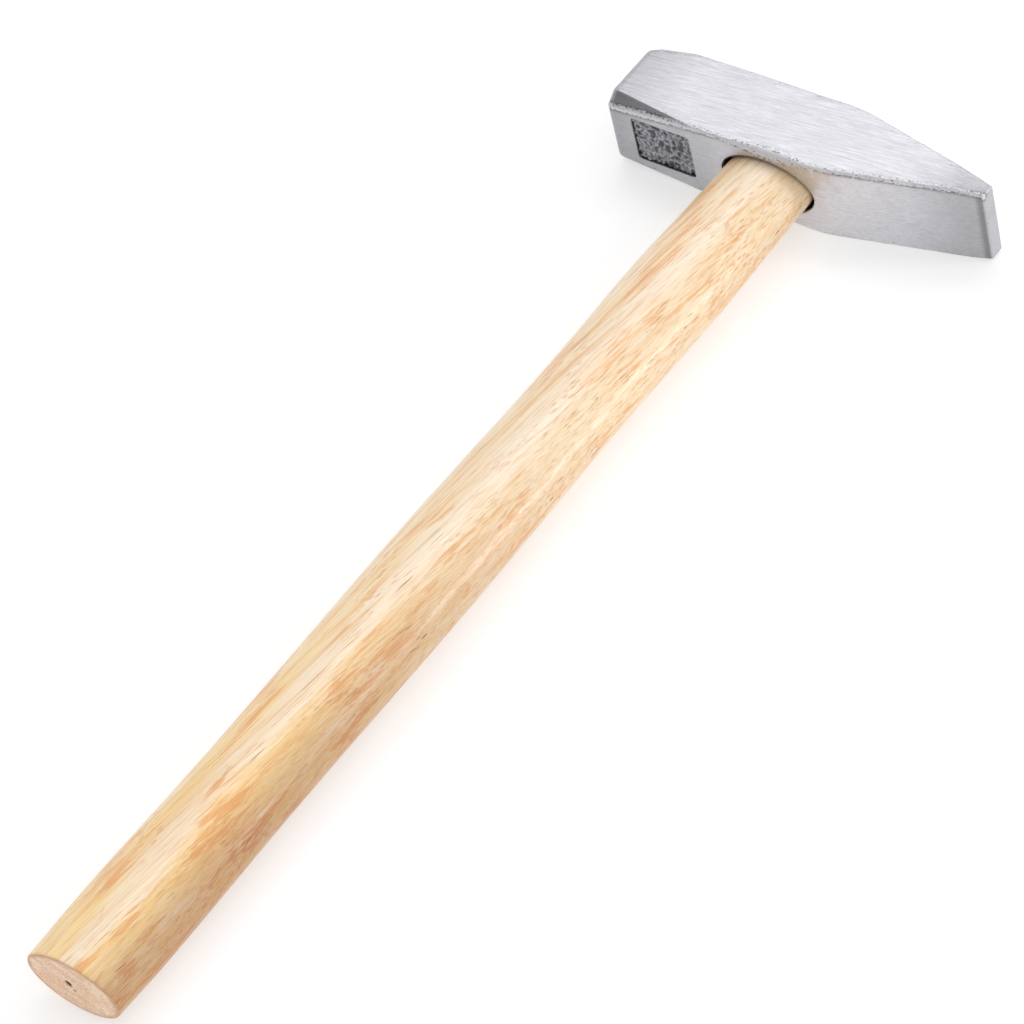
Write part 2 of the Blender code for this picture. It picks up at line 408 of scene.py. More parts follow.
def panelTool():
    s = headShape
    length, width = s["panelSize"]
    bm = bmesh.new()
    bmesh.ops.create_cube(bm, size=1)
    bmesh.ops.scale(bm, vec=(length, 2 * s["panelDepth"], width), verts=bm.verts)

    def isUpright(edge):
        return abs(edge.verts[0].co.y - edge.verts[1].co.y) > s["panelDepth"]

    roundOff(bm, [edge for edge in bm.edges if isUpright(edge)], s["panelCorner"], 4)
    surface, slope = undersideAt(s["panelCentre"])
    bmesh.ops.rotate(bm, matrix=Matrix.Rotation(-slope, 3, "Z"), verts=bm.verts)
    bmesh.ops.translate(bm, vec=(s["panelCentre"], -surface, 0), verts=bm.verts)
    return bm


def inEye(place, spare):
    halfX, halfZ = headShape["eyeMouth"]
    return (place.x / (halfX + spare)) ** 2 + (place.z / (halfZ + spare)) ** 2 < 1


def inPanel(place, spare):
    length, width = headShape["panelSize"]
    alongOk = abs(place.x - headShape["panelCentre"]) < length / 2 + spare
    return place.y < 0 and alongOk and abs(place.z) < width / 2 + spare


def isPanelFloor(face):
    middle = face.calc_center_median()
    low = -halfWidth + headShape["panelDepth"] * 0.6
    return inPanel(middle, 0) and low < middle.y < -halfWidth + 3 * mm and abs(face.normal.y) > 0.9


def wearBlock(points, radii, flats):
    # Each point goes to the nearest place on the block shrunk by its own radius, then out again by
    # that radius. A point on a flat comes back to where it was, and one on an edge comes back rounded.
    inner = points.copy()
    drift = np.zeros((len(flats), *points.shape))
    for _ in range(headShape["wearPasses"]):
        for i, (normal, reach) in enumerate(flats):
            tried = inner + drift[i]
            over = np.maximum(tried @ normal - (reach - radii), 0)
            inner = tried - over[:, None] * normal
            drift[i] = tried - inner
    out = points - inner
    length = np.maximum(np.linalg.norm(out, axis=1), 1e-9)
    worn = inner + out * (radii / length)[:, None]
    return np.where((length > radii)[:, None], worn, points)


def besideEye(place):  # 1 beside the middle of the eye, fading to 0 on both sides
    near = max(0, 1 - abs(place.x - headShape["filletMiddle"]) / headShape["filletReach"])
    return near * near * (3 - 2 * near)


def edgeRadiusAt(place, fromRubbed):
    s = headShape
    rubbed = max(0, 1 - fromRubbed / s["rubbedBand"]) * s["rubbedRadius"]
    rubbed *= 1 + 0.9 * rough(place, (330, 330, 330), 9)
    wander = s["edgeWander"] * rough(place, (260, 260, 260), 1)
    nick = max(0, rough(place, (620, 620, 620), 2) - 0.42) * s["nick"]
    fillet = s["eyeFillet"] * besideEye(place)
    if place.y > 0:
        fillet *= s["filletOnTop"]
    return s["edgeRadius"] + wander + nick + fillet + rubbed


def isRubbed(edge):  # the underside's upper edge is the most knocked about
    onUnderside = any(face.normal.y < -0.95 for face in edge.link_faces)
    return onUnderside and all(vert.co.z > 0.6 * halfThick for vert in edge.verts)


def dotted(lines):  # a tree of places close together along these lines
    places = []
    for start, end in lines:
        steps = max(1, round((end - start).length / headShape["dotPitch"]))
        places += [start.lerp(end, step / steps) for step in range(steps + 1)]
    tree = kdtree.KDTree(len(places))
    for count, place in enumerate(places):
        tree.insert(place, count)
    tree.balance()
    return tree


def makeHead(steel):
    s = headShape
    bm = forgedBlock()
    bm.normal_update()
    flats = [(face.normal.copy(), face.normal.dot(face.verts[0].co)) for face in bm.faces]
    mainFlats = [flat for flat, face in zip(flats, bm.faces) if face.calc_area() > 30 * mm * mm]
    ridges = [edge for edge in bm.edges if edge.calc_face_angle(0) > 0.2]
    ridgeLines = [(edge.verts[0].co.copy(), edge.verts[1].co.copy()) for edge in ridges]
    rubbedLines = [line for line, edge in zip(ridgeLines, ridges) if isRubbed(edge)]

    bm = carve(bm, eyeTool(), panelTool())
    bm.normal_update()
    mouth = []
    brink = []
    for edge in bm.edges:
        if edge.calc_face_angle(0) < 0.6:
            continue
        ends = [vert.co for vert in edge.verts]
        if all(abs(end.y) > halfWidth - 0.5 * mm and inEye(end, 0.05 * mm) for end in ends):
            mouth.append(edge)
        elif all(inPanel(end, 0.05 * mm) and end.y < -halfWidth + 0.5 * mm for end in ends):
            brink.append(edge)
    mouthLines = [(edge.verts[0].co.copy(), edge.verts[1].co.copy()) for edge in mouth + brink]
    roundOff(bm, mouth, s["eyeRim"], 3)
    roundOff(bm, brink, s["panelRim"], 2)
    bmesh.ops.triangulate(bm, faces=[face for face in bm.faces if len(face.verts) > 4])

    slices(bm, (1, 0, 0), np.arange(headLow.x + s["sliceX"], headHigh.x, s["sliceX"]))
    slices(bm, (0, 1, 0), np.arange(-halfWidth + 2.5 * mm, halfWidth - 2 * mm, s["sliceAcross"]))
    slices(bm, (0, 0, 1), np.arange(-halfThick + 2.5 * mm, halfThick - 2 * mm, s["sliceAcross"]))
    for normal, reach in mainFlats:
        nearby = [face for face in bm.faces if reach - normal.dot(face.verts[0].co) < 3 * mm]
        slices(bm, normal, [reach - inward for inward in s["sliceFromEdge"]], nearby)
    floor = [face for face in bm.faces if isPanelFloor(face)]
    panelLength, panelWidth = s["panelSize"]
    panelStart = s["panelCentre"] - panelLength / 2
    slices(bm, (1, 0, 0), np.arange(panelStart, panelStart + panelLength, s["slicePanel"]), floor)
    floor = [face for face in bm.faces if isPanelFloor(face)]
    slices(bm, (0, 0, 1), np.arange(-panelWidth / 2, panelWidth / 2, s["slicePanel"]), floor)
    bmesh.ops.dissolve_degenerate(bm, dist=0.02 * mm, edges=bm.edges)
    print("head block cut into", len(bm.faces), "faces by", len(flats), "flats")

    ridgeTree = dotted(ridgeLines + mouthLines)
    rubbedTree = dotted(rubbedLines)
    names = ("edgeDistance", "rubbedDistance", "panelDepth", "eyeDepth", "relief")
    edgeDistance, rubbedDistance, panelDepth, eyeDepth, relief = newAttributes(bm, names)
    for vert in bm.verts:
        vert[edgeDistance] = min(ridgeTree.find(vert.co)[2] / mm, 6)
        vert[rubbedDistance] = min(rubbedTree.find(vert.co)[2] / mm, 6) / (1 + 1.3 * besideEye(vert.co))
        if inEye(vert.co, 0.02 * mm):
            vert[eyeDepth] = min((halfWidth - abs(vert.co.y)) / mm, 3)
        if inPanel(vert.co, 0.02 * mm) and vert.co.y < -halfWidth + 3 * mm:
            vert[panelDepth] = max(0, (vert.co.y + undersideAt(vert.co.x)[0]) / s["panelDepth"])

    rim = [vert for vert in bm.verts if vert[edgeDistance] < s["wornBand"]]
    points = np.array([vert.co for vert in rim])
    radii = np.array([edgeRadiusAt(vert.co, vert[rubbedDistance]) for vert in rim])
    worn = wearBlock(points, radii, [(np.array(normal), reach) for normal, reach in flats])
    for vert, place in zip(rim, worn):
        vert.co = place
    for vert in bm.verts:
        if vert[panelDepth] > 0.9:
            lumps = 1 - abs(rough(vert.co, (480, 0, 480), 5)) * 3
            grain = rough(vert.co, (1200, 0, 1200), 3) + 0.6 * rough(vert.co, (2300, 0, 2300), 4)
            raised = min(1, max(0, 0.36 + 0.34 * lumps + 0.45 * grain))
            # the same number also paints shade into the material's hollows and highlight onto its lumps
            vert[relief] = raised
            vert.co.y -= s["panelRelief"] * raised
        wave = Vector([rough(place, (70, 70, 70), seed) for seed in (6, 7, 8)])
        vert.co += s["wave"] * wave
    return finishPiece("hammerHead", bm, steel, "head", sharp=1.0)


def groundSteel():
    f = Finish("groundSteel")
    edge = f.attribute("edgeDistance")
    panel = f.fade(f.attribute("panelDepth"), 0.15, 0.6)
    raised = f.attribute("relief")
    eye = f.fade(f.attribute("eyeDepth"), 0.3, 1.2)
    slant = (0, 0, 5.0)
    lines = f.noise((12, 0.28, 0.28), slant, detail=4, roughness=0.8, warp=0.12)
    fineLines = f.noise((6, 0.15, 0.15), (0, 2.0, 8.0), (0.01, 0.02, 0.03), detail=2, roughness=0.6)
    crossing = f.noise((5, 0.3, 0.3), (0, -4.0, -8.0), (0.1, 0.2, 0.3), detail=2)
    patches = f.noise((9, 4, 4), detail=3, warp=0.6)
    grain = f.noise((0.25, 0.25, 0.25), detail=2)
    pits = f.noise((0.8, 0.5, 0.5), detail=3, roughness=0.6)
    scratches = f.noise((3.5, 0.2, 0.2), (0, 0, 3.0), (0.04, 0.05, 0.06), detail=2, roughness=0.5)
    scratches = f.fade(scratches, 0.66, 0.74)
    nearEdge = f.fade(edge, 0.3, 2.2, 1.0, 0.0)
    pitted = f.math("ADD", f.math("MULTIPLY", nearEdge, 0.6), 0.06)
    pitted = f.math("MULTIPLY", f.fade(pits, 0.60, 0.68), pitted)
    ragged = f.math("MULTIPLY", f.math("SUBTRACT", pits, 0.5), 3.0)
    ragged = f.math("ADD", f.attribute("rubbedDistance"), ragged)
    rubbed = f.fade(ragged, 0.25, 1.0, 1.0, 0.0)
    below = f.fade(f.z, headHigh.z - 0.3 * mm, headHigh.z - 0.6 * mm)
    clear = f.math("ADD", f.fade(f.x, -8 * mm, -16 * mm), f.fade(f.x, 12 * mm, 22 * mm))  # of the eye
    scale = f.math("MULTIPLY", f.fade(ragged, 0.7, 1.0), f.fade(ragged, 1.8, 1.2))  # a dark broken line
    dark = f.math("MULTIPLY", f.math("MULTIPLY", below, clear), f.fade(pits, 0.36, 0.50))
    scale = f.math("MULTIPLY", scale, f.math("MAXIMUM", dark, f.fade(pits, 0.53, 0.62)))

    onCheek = f.fade(f.z, headHigh.z - 1.5 * mm, headHigh.z - 0.6 * mm)
    strength = f.math("ADD", 0.45, f.math("MULTIPLY", onCheek, 0.55))
    lined = f.blend(f.fade(lines, 0.28, 0.72), (0.49, 0.49, 0.52), (0.79, 0.78, 0.81))
    tone = f.blend(strength, (0.70, 0.70, 0.73), lined)
    tone = f.blend(f.math("MULTIPLY", f.fade(fineLines, 0.42, 0.68), 0.32), tone, (0.42, 0.42, 0.45))
    tone = f.blend(f.math("MULTIPLY", f.fade(crossing, 0.58, 0.75), 0.25), tone, (0.45, 0.45, 0.48))
    tone = f.blend(f.math("MULTIPLY", scratches, 0.45), tone, (0.28, 0.28, 0.30))
    tone = f.blend(f.math("MULTIPLY", f.fade(patches, 0.45, 0.75), 0.22), tone, (0.48, 0.46, 0.48))
    faceEnd = f.fade(f.x, -50 * mm, -26 * mm, 0.66, 0.90)
    ends = f.math("MULTIPLY", faceEnd, f.fade(f.x, 36 * mm, 56 * mm, 1.0, 0.74))
    # painted shade: the underside is darkened towards the face end
    low = f.math("MULTIPLY", f.fade(f.y, -11.0 * mm, -11.25 * mm), f.fade(f.x, -10 * mm, -22 * mm))
    ends = f.math("MULTIPLY", ends, f.math("SUBTRACT", 1.0, f.math("MULTIPLY", low, 0.15)))
    ends = f.math("ADD", ends, f.math("MULTIPLY", f.fade(f.x, 57.0 * mm, 57.25 * mm), 0.14))
    # painted highlight: the steel off the upper cheek is lighter beside the eye
    paintedEyeHighlight = f.math("MULTIPLY", f.fade(f.x, -14 * mm, 12 * mm), f.fade(f.x, 46 * mm, 22 * mm))
    paintedEyeHighlight = f.math("MULTIPLY", paintedEyeHighlight, f.math("SUBTRACT", 1.0, onCheek))
    ends = f.math("ADD", ends, f.math("MULTIPLY", paintedEyeHighlight, 0.12))
    # painted shade: a dark band off the upper cheek just short of the tip's end face
    paintedTipShade = f.math("MULTIPLY", f.fade(f.x, 54.6 * mm, 56.2 * mm), f.fade(f.x, 57.0 * mm, 56.7 * mm))
    paintedTipShade = f.math("MULTIPLY", paintedTipShade, f.math("SUBTRACT", 1.0, onCheek))
    ends = f.math("SUBTRACT", ends, f.math("MULTIPLY", paintedTipShade, 0.26))
    # ends carries the painted shade and painted highlight above into the tone
    tone = f.blend(1.0, tone, f.grey(ends), "MULTIPLY")
    tone = f.blend(f.math("MULTIPLY", rubbed, 0.8), tone, (0.80, 0.79, 0.82))
    tone = f.blend(f.math("MULTIPLY", scale, 0.7), tone, (0.14, 0.135, 0.14))
    tone = f.blend(pitted, tone, (0.14, 0.135, 0.14))
    # painted shade in the cast floor's hollows and painted highlight on its lumps, over its dark cast
    # grey
    castToneAndShade = f.blend(f.fade(raised, 0.15, 1.0), (0.09, 0.088, 0.095), (0.52, 0.52, 0.56))
    castToneAndShade = f.blend(f.fade(grain, 0.62, 0.45, 0.0, 0.45), castToneAndShade, (0.10, 0.10, 0.11))
    tone = f.blend(panel, tone, castToneAndShade)
    tone = f.blend(eye, tone, (0.05, 0.045, 0.045))

    roughness = f.fade(lines, 0.25, 0.75, 0.40, 0.30)
    roughness = f.math("ADD", roughness, f.math("MULTIPLY", patches, 0.08))
    roughness = f.math("ADD", roughness, f.math("MULTIPLY", rubbed, 0.30))
    roughness = f.math("ADD", roughness, f.math("MULTIPLY", eye, 0.3))
    height = f.math("ADD", lines, f.math("MULTIPLY", f.math("ADD", crossing, fineLines), 0.3))
    height = f.math("SUBTRACT", height, f.math("MULTIPLY", f.math("ADD", pitted, scale), 1.6))
    height = f.math("ADD", height, f.math("MULTIPLY", f.math("MULTIPLY", grain, panel), 3.0))
    height = f.math("ADD", height, f.math("MULTIPLY", f.math("MULTIPLY", pits, rubbed), 2.5))
    grainNormal = f.bump(height, 0.016 * mm)
    return f.finish(Base_Color=tone, Metallic=1.0, Roughness=roughness, Normal=grainNormal)


handleShape = {
    "ovals": [  # y, half length on x, half width on z, where the handle swells or narrows
        (handleLow.y, 13.10 * mm, 8.5 * mm),
        (-268.0 * mm, 13.45 * mm, 8.7 * mm),
        (-215.0 * mm, 12.90 * mm, 8.4 * mm),
        (-156.0 * mm, 13.35 * mm, 8.8 * mm),
        (-85.0 * mm, 12.60 * mm, 8.4 * mm),
        (-54.0 * mm, 13.10 * mm, 8.3 * mm),
        (-12.0 * mm, 12.35 * mm, 7.3 * mm),
        (-2.0 * mm, 12.00 * mm, 6.8 * mm),
        (handleHigh.y, 13.10 * mm, 7.8 * mm),
    ],
    "points": 128,
    "ringPitch": 2.8 * mm,
    "buttEdge": 0.45 * mm,
    "buttPitch": 0.35 * mm,
    "tenonPitch": 0.7 * mm,
    "pits": [  # x, z, radius and depth of the holes in the butt
        (-1.35 * mm, 0.07 * mm, 1.05 * mm, 1.2 * mm),
        (0.1 * mm, -1.4 * mm, 0.35 * mm, 0.3 * mm),
    ],
    "buttRough": 0.05 * mm,  # the sawn ends are not quite smooth
    "tenonRough": 0.06 * mm,
    "wander": 0.10 * mm,  # hand sanding leaves it not quite even
    "kerfDepth": 17.5 * mm,  # the saw cut that the wooden wedge fills
    "kerfHalf": (1.5 * mm, 0.8 * mm),
    "tenonEdge": 0.25 * mm,
    "gap": 0.3 * mm,
}

wedgeShape = {
    "woodHalfLength": 11.8 * mm,
    "woodEdge": 0.12 * mm,
    "woodRough": 0.12 * mm,
    "steelOffset": 5.6 * mm,  # from the middle of the eye
    "steelDepth": 11.0 * mm,
    "steelHalfWidth": 4.5 * mm,
    "steelHalf": (1.0 * mm, 0.3 * mm),
    "steelEdge": 0.28 * mm,
    "dent": 0.16 * mm,  # the hammer blows that drove them in
    "struckDepth": 0.6 * mm,
}


def steelWedgeBlank(side, gap):
    w = wedgeShape
    bm = taperedSlab(
        [half + gap for half in w["steelHalf"]],
        [w["steelHalfWidth"] + gap] * 2,
        handleHigh.y + 2 * gap,
        w["steelDepth"] + 3 * gap,
    )
    bmesh.ops.translate(bm, vec=(side * w["steelOffset"], 0, 0), verts=bm.verts)
    return bm


def makeHandle(wood):
    s = handleShape
    bm = drawOvals(easeOvals(s["ovals"], s["ringPitch"]), s["points"])
    buttY, topY = handleLow.y, handleHigh.y
    buttRim = [e for e in bm.edges if all(v.co.y < buttY + 0.01 * mm for v in e.verts)]
    tenonRim = [e for e in bm.edges if all(v.co.y > topY - 0.01 * mm for v in e.verts)]
    roundOff(bm, buttRim, s["buttEdge"], 4)
    roundOff(bm, tenonRim, s["tenonEdge"], 2)
    kerf = taperedSlab((20 * mm, 20 * mm), s["kerfHalf"], topY + s["gap"], s["kerfDepth"] + s["gap"])
    bm = carve(bm, kerf, *(steelWedgeBlank(side, s["gap"]) for side in (-1, 1)))
    bm.normal_update()
    halfX, halfZ = s["ovals"][0][1:]
    for endY, pitch in ((buttY, s["buttPitch"]), (topY, s["tenonPitch"])):
        for axis, half in (((1, 0, 0), halfX), ((0, 0, 1), halfZ)):
            level = [face for face in bm.faces if abs(face.calc_center_median().y - endY) < 0.1 * mm]
            level = [face for face in level if abs(face.normal.y) > 0.99]
            slices(bm, axis, np.arange(-half, half, pitch) + 0.05 * mm, level)

    endGrain, pitDepth, endRim = newAttributes(bm, ("endGrain", "pitDepth", "endRim"))
    for vert in bm.verts:
        x, y, z = vert.co
        atEnd = y < buttY + 0.12 * mm or y > topY - 0.12 * mm
        vert[endGrain] = 1.0 if atEnd else 0.0
        if atEnd:
            across = ((x / halfX) ** 2 + (z / halfZ) ** 2) ** 0.5
            ragged = 0.05 * rough(vert.co, (400, 0, 400), 16)
            vert[endRim] = min(1, max(0, (across - 0.86 + ragged) / 0.09))
        if y < buttY + 0.02 * mm:
            for pitX, pitZ, radius, depth in s["pits"]:
                away = ((x - pitX) ** 2 + (z - pitZ) ** 2) ** 0.5 / radius
                away *= 1 + 0.35 * rough(vert.co, (900, 0, 900), 11)
                sunk = max(0, 1 - away * away) ** 1.5
                vert.co.y += depth * sunk
                vert[pitDepth] = max(vert[pitDepth], sunk)
            sawn = rough(vert.co, (140, 0, 140), 12) + rough(vert.co, (600, 0, 600), 13)
            vert.co.y += s["buttRough"] * sawn
        elif y > topY - 0.02 * mm:
            vert.co.y -= s["tenonRough"] * (1 + rough(vert.co, (300, 0, 500), 17))
        elif y < topY - 1 * mm:
            out = Vector((x, 0, z)).normalized()
            uneven = rough(vert.co, (90, 28, 90), 14) + 0.5 * rough(vert.co, (220, 60, 220), 15)
            vert.co += out * s["wander"] * uneven
    return finishPiece("hammerHandle", bm, wood, "handle", sharp=1.0)


def oiledWood(name):
    f = Finish(name)
    slant = (1.5, 0, -7.0)  # the grain runs a little across the handle
    end = f.attribute("endGrain")
    pit = f.attribute("pitDepth")
    bands = f.noise((8, 75, 8), slant, (0.031, 0.04, 0.017), detail=3, roughness=0.6, warp=0.3)
    flames = f.noise((2.9, 25, 2.9), slant, (0.073, 0.021, 0.002), detail=5, roughness=0.65, warp=0.5)
    streaks = f.noise((1.3, 45, 1.3), slant, (0.013, 0.044, 0.022), detail=3, roughness=0.6)
    hairs = f.noise((0.36, 16, 0.36), slant, (0.055, 0.011, 0.092), detail=3, roughness=0.6)
    pores = f.noise((0.30, 9, 0.30), slant, (0.025, 0.061, 0.042), detail=2, roughness=0.4)
    longPores = f.noise((0.55, 22, 0.55), slant, (0.085, 0.031, 0.012), detail=2, roughness=0.4)
    flecks = f.cells((1.0, 3.0, 1.0), slant)
    fleckPatches = f.noise((7, 26, 7), slant, (0.041, 0.077, 0.039), detail=2)
    clusters = f.noise((5, 40, 5), slant, (0.017, 0.053, 0.066), detail=2)

    farSide = f.math("SUBTRACT", f.math("MULTIPLY", f.x, 0.75), f.math("MULTIPLY", f.z, 0.66))
    wandering = f.math("ADD", farSide, f.math("MULTIPLY", f.math("SUBTRACT", bands, 0.5), 12 * mm))
    # a pale cream band along the side that faces the top light: partly the wood's pale tone, partly
    # painted highlight
    paleBandAndHighlight = f.fade(wandering, -16.0 * mm, -13.5 * mm)
    paleBandAndHighlight = f.math("MULTIPLY", f.fade(wandering, -8.0 * mm, -10.5 * mm), paleBandAndHighlight)
    towardsHead = f.fade(f.y, -235 * mm, -120 * mm)

    tone = f.blend(f.fade(bands, 0.35, 0.65), (0.95, 0.69, 0.31), (0.91, 0.58, 0.21))
    tone = f.blend(f.math("MULTIPLY", towardsHead, 0.58), tone, (0.90, 0.75, 0.58))
    tone = f.blend(f.math("MULTIPLY", paleBandAndHighlight, 0.60), tone, (0.93, 0.80, 0.65))
    tone = f.blend(f.math("MULTIPLY", f.fade(streaks, 0.47, 0.72), 0.50), tone, (0.80, 0.47, 0.18))
    tone = f.blend(f.math("MULTIPLY", f.fade(streaks, 0.50, 0.28), 0.50), tone, (0.93, 0.80, 0.62))
    feathered = f.math("ADD", flames, f.math("MULTIPLY", f.math("SUBTRACT", hairs, 0.5), 0.35))
    feathered = f.math("SUBTRACT", feathered, f.math("MULTIPLY", paleBandAndHighlight, 0.07))
    flameTone = f.blend(towardsHead, (0.83, 0.37, 0.10), (0.84, 0.46, 0.20))
    tone = f.blend(f.math("MULTIPLY", f.fade(feathered, 0.49, 0.64), 0.92), tone, flameTone)
    tone = f.blend(f.math("MULTIPLY", f.fade(hairs, 0.48, 0.72), 0.50), tone, (0.66, 0.36, 0.15))
    tone = f.blend(f.math("MULTIPLY", f.fade(hairs, 0.46, 0.28), 0.42), tone, (0.94, 0.84, 0.70))
    fleck = f.math("MULTIPLY", f.fade(flecks, 0.45, 0.2), f.fade(fleckPatches, 0.54, 0.64))
    tone = f.blend(f.math("MULTIPLY", fleck, 0.55), tone, (0.68, 0.30, 0.14))
    clustered = f.fade(clusters, 0.42, 0.62, 0.25, 1.0)
    poreMask = f.math("MULTIPLY", f.fade(pores, 0.64, 0.74), f.math("MULTIPLY", clustered, 0.6))
    tone = f.blend(poreMask, tone, (0.52, 0.26, 0.11))
    longMask = f.math("MULTIPLY", f.fade(longPores, 0.68, 0.73), clustered)
    tone = f.blend(f.math("MULTIPLY", longMask, 0.8), tone, (0.34, 0.15, 0.06))
    paintedButtShade = f.fade(f.y, -80 * mm, -240 * mm, 0.15, 1.0)  # painted shade: darker on the side turned from the light, near the butt
    paintedButtShade = f.math("MULTIPLY", f.fade(farSide, -10.5 * mm, -0.5 * mm), paintedButtShade)
    tone = f.blend(paintedButtShade, tone, f.blend(1.0, tone, (0.56, 0.47, 0.44), "MULTIPLY"))

    rings = f.noise((6, 900, 2.2), (0, 20, 0), detail=4, warp=0.5)
    dots = f.noise((0.40, 900, 0.40), detail=2, roughness=0.6)
    endTone = f.blend(f.fade(rings, 0.36, 0.62), (0.93, 0.69, 0.48), (0.84, 0.50, 0.28))
    endTone = f.blend(f.math("MULTIPLY", f.fade(dots, 0.50, 0.68), 0.60), endTone, (0.58, 0.32, 0.19))
    endTone = f.blend(f.math("MULTIPLY", f.fade(dots, 0.48, 0.36), 0.45), endTone, (0.97, 0.80, 0.64))
    endTone = f.blend(f.math("MULTIPLY", f.attribute("endRim"), 0.85), endTone, (0.58, 0.28, 0.12))
    # painted shade in the butt's pits, darker with their depth
    endTone = f.blend(f.fade(pit, 0.02, 0.35), endTone, (0.07, 0.05, 0.045))
    tone = f.blend(end, tone, endTone)

    roughness = f.fade(streaks, 0.3, 0.7, 0.40, 0.52)
    roughness = f.math("ADD", roughness, f.math("MULTIPLY", end, 0.25))
    height = f.math("SUBTRACT", f.math("MULTIPLY", hairs, 0.6), f.math("MULTIPLY", poreMask, 0.5))
    height = f.math("SUBTRACT", height, f.math("MULTIPLY", longMask, 0.5))
    height = f.math("ADD", height, f.math("MULTIPLY", f.math("MULTIPLY", dots, end), 1.5))
    grainNormal = f.bump(height, 0.035 * mm)
    f.finish(Base_Color=tone, Roughness=roughness, Normal=grainNormal, Coat_Normal=grainNormal)
    return f.finish(Coat_Weight=0.6, Coat_Roughness=0.25)


def makeWoodWedge(wood):
    s, w = handleShape, wedgeShape
    halfZ = [half - s["gap"] for half in s["kerfHalf"]]
    bm = taperedSlab([w["woodHalfLength"]] * 2, halfZ, handleHigh.y, s["kerfDepth"] - s["gap"])
    bm = carve(bm, *(steelWedgeBlank(side, s["gap"]) for side in (-1, 1)))
    bm.normal_update()
    roundOff(bm, [e for e in bm.edges if e.calc_face_angle(0) > 0.9], w["woodEdge"], 2)
    slices(bm, (1, 0, 0), np.arange(-w["woodHalfLength"], w["woodHalfLength"], 0.4 * mm))
    endGrain = bm.verts.layers.float.new("endGrain")
    for vert in bm.verts:
        if vert.co.y > handleHigh.y - 0.2 * mm:
            vert[endGrain] = 1.0
            vert.co.y -= w["woodRough"] * (1 + rough(vert.co, (500, 0, 900), 21))
    return finishPiece("kerfWedge", bm, wood, "wood_wedge", sharp=0.8)


def makeSteelWedge(side, name, node, steel):
    w = wedgeShape
    bm = steelWedgeBlank(side, 0)
    roundOff(bm, bm.edges[:], w["steelEdge"], 3)
    slices(bm, (0, 0, 1), np.arange(-w["steelHalfWidth"], w["steelHalfWidth"], 0.3 * mm))
    foot = handleHigh.y - w["steelDepth"]
    slices(bm, (0, 1, 0), np.arange(foot, handleHigh.y - 0.3 * mm, 0.6 * mm))
    middle = side * w["steelOffset"]
    slices(bm, (1, 0, 0), np.arange(middle - 0.8 * mm, middle + 0.9 * mm, 0.3 * mm))
    for vert in bm.verts:
        struck = max(0, 1 - (handleHigh.y - vert.co.y) / w["struckDepth"])
        vert.co.y -= struck * w["dent"] * (1 + rough(vert.co, (800, 0, 500), 31 + side))
    return finishPiece(name, bm, steel, node, sharp=0.8)


def struckSteel():
    f = Finish("struckSteel")
    scale = f.noise((1.4, 1.4, 1.4), detail=4, roughness=0.65)
    scratch = f.noise((0.3, 2, 1.1), (0, 25, 10), detail=2)
    tone = f.blend(f.fade(scale, 0.35, 0.65), (0.16, 0.155, 0.16), (0.42, 0.42, 0.44))
    tone = f.blend(f.math("MULTIPLY", f.fade(scratch, 0.6, 0.7), 0.6), tone, (0.65, 0.65, 0.67))
    roughness = f.fade(scale, 0.3, 0.7, 0.55, 0.35)
    height = f.math("ADD", scale, f.math("MULTIPLY", scratch, 0.4))
    grainNormal = f.bump(height, 0.05 * mm)
    return f.finish(Base_Color=tone, Metallic=1.0, Roughness=roughness, Normal=grainNormal)


studio = {
    "restOnHead": Vector((0, -11.65 * mm, 0)),  # the lower cheek's edge touches the floor here
    "restOnButt": Vector((0, -268.0 * mm, 2.35 * mm)),  # and the handle's belly here
    "floorSize": 6.0,
    "floorTone": (0.52, 0.52, 0.525),  # a white light table: it scatters light and glows
    "floorGlow": 0.52,
    "tentBright": 1.13,  # the white tent glows most behind the head and least in front
    "tentDim": 0.84,
    "tentTowards": (-0.10, 0.62, 0.78),
    "gapTowards": (-0.50, -0.55, 0.68),  # the tent's open flap at the front left
    "gapDark": 0.82,
    "lights": [  # name, place, size, watts
        ("topPanel", (-0.44, 0.62, 1.30), 0.45, 2.0),
        ("sidePanel", (0.77, 0.36, 0.45), 0.16, 1.6),
    ],
    "azimuth": 47.03,  # the camera's place round the hammer, in degrees
    "elevation": 45.70,
    "roll": -15.56,
    "distance": 1.100,
    "lens": 162.79,
    "aim": Vector((-15.3 * mm, 23.1 * mm, -23.05 * mm)),  # from the middle of the hammer's box
}


def makeFloor():
    s = studio
    bm = bmesh.new()
    bmesh.ops.create_grid(bm, x_segments=8, y_segments=8, size=s["floorSize"] / 2)
    rise = s["restOnButt"] - s["restOnHead"]
    bmesh.ops.rotate(bm, matrix=Matrix.Rotation(-np.arctan2(rise.z, -rise.y), 3, "X"), verts=bm.verts)
    bmesh.ops.translate(bm, vec=s["restOnHead"], verts=bm.verts)
    floor = bareObject("floor", bm)
    f = Finish("paleFloor")
    cloud = f.noise((330, 330, 330), detail=2)
    tone = f.blend(cloud, s["floorTone"], (0.54, 0.54, 0.54))
    glow = {"Emission_Color": (1, 1, 1, 1), "Emission_Strength": s["floorGlow"]}
    floor.data.materials.append(f.finish(Base_Color=tone, Roughness=0.9, **glow))


def facing(bench, direction, towards):  # 1 straight that way, -1 straight away from it
    inputs = {0: direction, 1: Vector(towards).normalized()}
    return bench.add("ShaderNodeVectorMath", inputs, operation="DOT_PRODUCT").outputs["Value"]


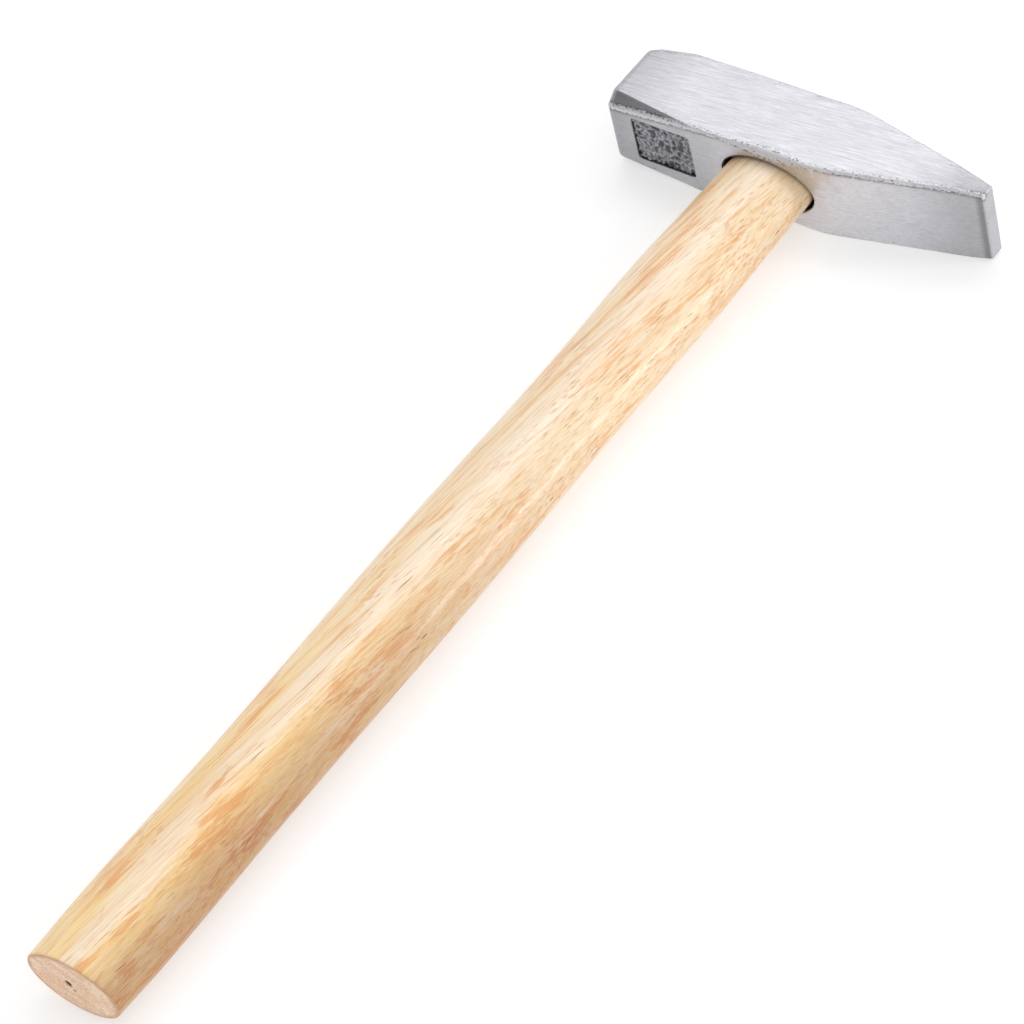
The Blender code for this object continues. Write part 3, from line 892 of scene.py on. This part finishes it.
def makeLight():
    s = studio
    world = bpy.data.worlds.new("studioWorld")
    bpy.context.scene.world = world
    world.use_nodes = True
    world.node_tree.nodes.clear()
    w = NodeBench(world.node_tree)
    direction = w.add("ShaderNodeTexCoord").outputs["Generated"]
    tent = w.fade(facing(w, direction, s["tentTowards"]), -0.35, 0.75, s["tentDim"], s["tentBright"])
    flap = w.fade(facing(w, direction, s["gapTowards"]), 0.72, 0.97, 1.0, 1 - s["gapDark"])
    inside = {"Color": (0.98, 0.985, 1.0, 1), "Strength": w.math("MULTIPLY", tent, flap)}
    around = w.add("ShaderNodeBackground", inside).outputs[0]
    seen = w.add("ShaderNodeBackground", {"Color": (1, 1, 1, 1)}).outputs[0]
    isSeen = w.add("ShaderNodeLightPath").outputs["Is Camera Ray"]
    mixed = w.add("ShaderNodeMixShader", {0: isSeen, 1: around, 2: seen}).outputs[0]
    w.add("ShaderNodeOutputWorld", {"Surface": mixed})
    for name, place, size, watts in s["lights"]:
        lamp = bpy.data.lights.new(name, "AREA")
        lamp.shape = "SQUARE"
        lamp.size = size
        lamp.energy = watts
        light = bpy.data.objects.new(name, lamp)
        bpy.context.scene.collection.objects.link(light)
        light.location = place
        light.rotation_euler = (-Vector(place)).to_track_quat("-Z", "Y").to_euler()


def makeCamera():
    s = studio
    low, high = cadBox
    target = (low + high) / 2 + s["aim"]
    around, above = radians(s["azimuth"]), radians(s["elevation"])
    back = Vector((sin(around) * cos(above), -cos(around) * cos(above), sin(above)))
    data = bpy.data.cameras.new("camera")
    data.lens = s["lens"]
    data.sensor_width = 36
    data.clip_start, data.clip_end = 0.05, 20
    camera = bpy.data.objects.new("camera", data)
    bpy.context.scene.collection.objects.link(camera)
    turn = Matrix.Rotation(around, 4, "Z") @ Matrix.Rotation(pi / 2 - above, 4, "X")
    turn = turn @ Matrix.Rotation(radians(s["roll"]), 4, "Z")
    camera.matrix_world = Matrix.Translation(target + back * s["distance"]) @ turn
    bpy.context.scene.camera = camera
    bpy.context.scene.view_settings.view_transform = "Standard"


makeHead(groundSteel())
makeHandle(oiledWood("oiledAsh"))
makeWoodWedge(oiledWood("wedgeWood"))
wedgeSteel = struckSteel()
makeSteelWedge(-1, "faceEndWedge", "steel_wedge_face_end", wedgeSteel)
makeSteelWedge(1, "peenEndWedge", "steel_wedge_peen_end", wedgeSteel)
makeFloor()
makeLight()
makeCamera()
print("floor, light and camera are set")
